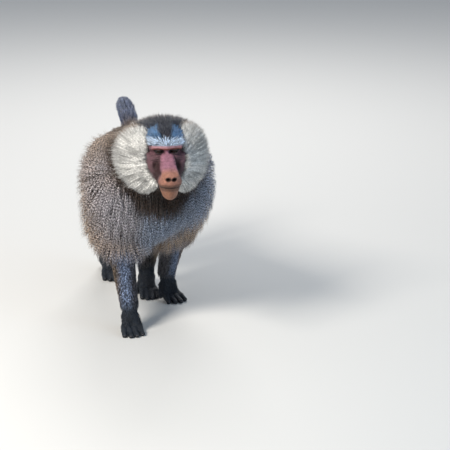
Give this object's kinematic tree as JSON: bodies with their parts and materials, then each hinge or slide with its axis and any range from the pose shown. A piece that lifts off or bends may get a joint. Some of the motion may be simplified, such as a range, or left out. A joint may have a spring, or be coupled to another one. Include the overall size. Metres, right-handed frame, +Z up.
{
  "type": "hamadryas baboon",
  "caption": "Adult male hamadryas baboon walking on all fours, with a maned cape, broad cheek whiskers, long muzzle and arched tail.",
  "frame": {"origin": "middle of the footprint of the whole animal, on the floor under its hands and feet", "axes": "+Z up, -Y the way the animal looks and walks, +X its left side, +Y along its body to the tail"},
  "size_m": [0.4186, 0.984, 0.6988],
  "materials": {
    "cape": "long grizzled hair, grey-brown, dull",
    "coat": "short brown-grey hair, dull",
    "face": "bare pink skin, matt",
    "hand": "dark grey skin, matt",
    "rump": "bare pink skin, smooth",
    "eye": "glossy"
  },
  "bodies": {
    "root": {"chest": "cape", "ear_left": "coat", "ear_right": "coat", "eye_left": "eye", "eye_right": "eye", "foot_left": "hand", "foot_right": "hand", "forearm_left": "coat", "forearm_right": "coat", "hand_left": "hand", "hand_right": "hand", "head": "face", "loin": "coat", "neck": "cape", "rump": "coat", "seat_pad_left": "rump", "seat_pad_right": "rump", "shank_left": "coat", "shank_right": "coat", "tail_base": "coat", "tail_end": "coat", "tail_middle": "coat", "thigh_left": "coat", "thigh_right": "coat", "upper_arm_left": "cape", "upper_arm_right": "cape"}
  },
  "joints": []
}
